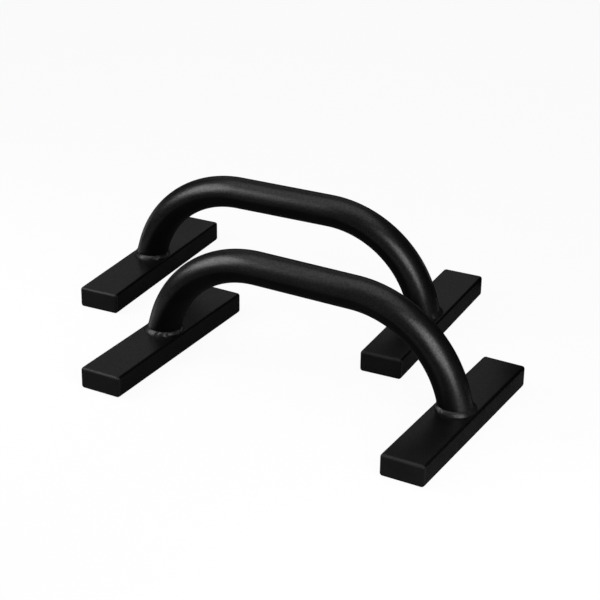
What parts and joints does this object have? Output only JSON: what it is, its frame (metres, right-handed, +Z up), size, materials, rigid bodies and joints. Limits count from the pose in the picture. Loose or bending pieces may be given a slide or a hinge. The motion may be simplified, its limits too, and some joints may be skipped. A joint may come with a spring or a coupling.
{
  "type": "parallette bars",
  "caption": "Low parallette bars for floor gymnastics: each a bent round tube grip welded across rectangular tube feet with plastic end plugs.",
  "frame": {"origin": "on the floor under the middle of the bounding box of both bars", "axes": "+X along the front bar's grip, +Y along its feet towards the rear bar, +Z up"},
  "size_m": [0.5654, 0.457, 0.1503],
  "materials": {
    "black_powder_coat": "matte black powder coat with a fine texture, over steel tube",
    "coated_weld": "rippled weld bead under a thinner, smoother black coat",
    "black_cap_plastic": "moulded black plastic, finely grained, with a smoother rounded edge"
  },
  "bodies": {
    "front_bar": {"front_bar_grip_tube": "black_powder_coat", "front_bar_left_foot_tube": "black_powder_coat", "front_bar_left_weld_bead": "coated_weld", "front_bar_left_near_end_cap": "black_cap_plastic", "front_bar_left_far_end_cap": "black_cap_plastic", "front_bar_right_foot_tube": "black_powder_coat", "front_bar_right_weld_bead": "coated_weld", "front_bar_right_near_end_cap": "black_cap_plastic", "front_bar_right_far_end_cap": "black_cap_plastic"},
    "rear_bar": {"rear_bar_grip_tube": "black_powder_coat", "rear_bar_left_foot_tube": "black_powder_coat", "rear_bar_left_weld_bead": "coated_weld", "rear_bar_left_near_end_cap": "black_cap_plastic", "rear_bar_left_far_end_cap": "black_cap_plastic", "rear_bar_right_foot_tube": "black_powder_coat", "rear_bar_right_weld_bead": "coated_weld", "rear_bar_right_near_end_cap": "black_cap_plastic", "rear_bar_right_far_end_cap": "black_cap_plastic"}
  },
  "joints": [
    {"name": "bar_spacing", "type": "slide", "parent": "front_bar", "child": "rear_bar", "axis": [0, 1, 0], "range_m": [-0.115, 0.4]}
  ]
}
